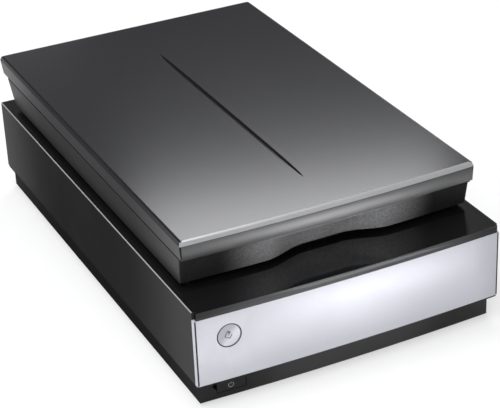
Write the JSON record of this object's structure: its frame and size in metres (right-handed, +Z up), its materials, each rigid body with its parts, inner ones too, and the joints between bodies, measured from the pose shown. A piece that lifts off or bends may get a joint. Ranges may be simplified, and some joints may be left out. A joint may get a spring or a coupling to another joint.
{
  "type": "flatbed film and photo scanner",
  "caption": "Desktop flatbed scanner with a lift-up transparency lid, silver front, push buttons, and a belt-driven scan carriage under the glass.",
  "frame": {"origin": "middle of the footprint, on the table under the rubber feet", "axes": "+Z up, front faces -Y, +X to the right seen from the front"},
  "size_m": [0.308, 0.503, 0.152],
  "materials": {
    "case_dark": "satin fine grain",
    "deck_dark": "satin sides, polished deck",
    "panel_silver": "satin silver",
    "lid_gunmetal": "semi-gloss metallic",
    "fascia_grey": "semi-gloss metallic",
    "skirt_dark": "fine grain",
    "inner_dark": "matt",
    "glass_clear": "polished",
    "glass_opal": "opal",
    "scale_white": "matt",
    "button_silver": "satin silver",
    "board_green": "solder mask",
    "light_smoke": "smoked clear",
    "port_metal": "plated",
    "port_black": "matt",
    "steel": "ground",
    "zinc_plate": "zinc plated",
    "bronze": "sintered",
    "belt_black": "matt",
    "rubber": "matt",
    "nylon": "natural",
    "lamp_white": "opal diffuser",
    "mirror": "front silvered",
    "lens_black": "anodised look",
    "mat_white": "matt white pad on a dark tray"
  },
  "bodies": {
    "base": {"base_tray": "case_dark", "upper_housing": "deck_dark", "front_panel": "panel_silver", "scan_glass": "glass_clear", "glass_bezel": "scale_white", "start_board": "board_green", "power_board": "board_green", "status_light": "light_smoke", "main_board": "board_green", "power_inlet": "port_black", "usb_port": "port_metal", "lid_port": "port_black", "guide_shaft": "steel", "shaft_clamps": "zinc_plate", "support_rail": "zinc_plate", "drive_belt": "belt_black", "idler_bracket": "zinc_plate", "drive_axle": "steel", "stepper_motor": "zinc_plate", "hinge_sockets": "inner_dark", "feet": "rubber", "case_screws": "steel"},
    "start_button": {"start_button": "button_silver"},
    "power_button": {"power_button": "case_dark"},
    "lock_knob": {"lock_knob": "case_dark"},
    "carriage": {"carriage_housing": "inner_dark", "carriage_cover": "inner_dark", "scan_lamp": "lamp_white", "lamp_reflector": "mirror", "fold_mirrors": "mirror", "sensor_board": "board_green", "glide_bushings": "bronze", "glide_shoe": "nylon", "belt_clamp": "inner_dark"},
    "lens_slide": {"lens_plate": "zinc_plate", "lens_barrels": "lens_black"},
    "drive_pulley": {"drive_pulley": "nylon"},
    "idler_pulley": {"idler_pulley": "nylon"},
    "motor_pinion": {"motor_pinion": "bronze"},
    "hinge_posts": {"hinge_posts": "inner_dark"},
    "lid": {"lid_cover": "lid_gunmetal", "lid_fascia": "fascia_grey", "lid_skirt": "skirt_dark", "lid_frame": "skirt_dark", "film_window": "glass_opal", "mat_rails": "inner_dark", "hinge_arms": "inner_dark", "hinge_pins": "steel", "lid_bumpers": "rubber", "lid_screws": "steel", "lid_shaft": "steel", "lid_shaft_blocks": "zinc_plate", "lid_belt": "belt_black", "lid_motor": "zinc_plate", "lid_idler_pin": "steel"},
    "film_lamp_carriage": {"lamp_carriage": "inner_dark", "film_lamp": "lamp_white"},
    "lid_drive_pulley": {"lid_drive_pulley": "nylon"},
    "lid_idler_pulley": {"lid_idler_pulley": "nylon"},
    "document_mat": {"document_mat": "mat_white"}
  },
  "joints": [
    {"name": "start_button_press", "type": "slide", "parent": "base", "child": "start_button", "axis": [0, 1, 0], "range_m": [0, 0.0015], "stiffness_N_per_m": 400, "springref_m": -0.001},
    {"name": "power_button_press", "type": "slide", "parent": "base", "child": "power_button", "axis": [0, 1, 0], "range_m": [0, 0.0015], "stiffness_N_per_m": 400, "springref_m": -0.001},
    {"name": "lock_turn", "type": "hinge", "parent": "base", "child": "lock_knob", "pos_m": [-0.06, 0.245, 0.06], "axis": [0, 1, 0], "range_deg": [0, 90]},
    {"name": "carriage_travel", "type": "slide", "parent": "base", "child": "carriage", "axis": [0, 1, 0], "range_m": [0, 0.295]},
    {"name": "lens_shift", "type": "slide", "parent": "carriage", "child": "lens_slide", "axis": [1, 0, 0], "range_m": [0, 0.028]},
    {"name": "drive_pulley_spin", "type": "hinge", "parent": "base", "child": "drive_pulley", "pos_m": [-0.072, 0.205, 0.029], "axis": [0, 0, 1], "range_deg": [-1946, 1]},
    {"name": "idler_pulley_spin", "type": "hinge", "parent": "base", "child": "idler_pulley", "pos_m": [-0.072, -0.225, 0.029], "axis": [0, 0, 1], "range_deg": [-1946, 1]},
    {"name": "motor_pinion_spin", "type": "hinge", "parent": "base", "child": "motor_pinion", "pos_m": [-0.0503, 0.205, 0.022], "axis": [0, 0, 1], "range_deg": [-3, 5838]},
    {"name": "lid_lift", "type": "slide", "parent": "base", "child": "hinge_posts", "axis": [0, 0, 1], "range_m": [0, 0.025]},
    {"name": "lid_hinge", "type": "hinge", "parent": "hinge_posts", "child": "lid", "pos_m": [0, 0.229, 0.118], "axis": [-1, 0, 0], "range_deg": [0, 80]},
    {"name": "film_lamp_travel", "type": "slide", "parent": "lid", "child": "film_lamp_carriage", "axis": [0, 1, 0], "range_m": [0, 0.24]},
    {"name": "lid_drive_pulley_spin", "type": "hinge", "parent": "lid", "child": "lid_drive_pulley", "pos_m": [0.129, 0.15, 0.123], "axis": [0, 0, 1], "range_deg": [-2054, 1]},
    {"name": "lid_idler_pulley_spin", "type": "hinge", "parent": "lid", "child": "lid_idler_pulley", "pos_m": [0.129, -0.17, 0.123], "axis": [0, 0, 1], "range_deg": [-2054, 1]},
    {"name": "mat_slide", "type": "slide", "parent": "lid", "child": "document_mat", "axis": [0, -1, 0], "range_m": [0, 0.28]}
  ],
  "couplings": [
    {"joint": "drive_pulley_spin", "follows": "carriage_travel", "rad_per_m": -114.94},
    {"joint": "idler_pulley_spin", "follows": "carriage_travel", "rad_per_m": -114.94},
    {"joint": "motor_pinion_spin", "follows": "carriage_travel", "rad_per_m": 344.83},
    {"joint": "lid_drive_pulley_spin", "follows": "film_lamp_travel", "rad_per_m": -149.25},
    {"joint": "lid_idler_pulley_spin", "follows": "film_lamp_travel", "rad_per_m": -149.25}
  ]
}
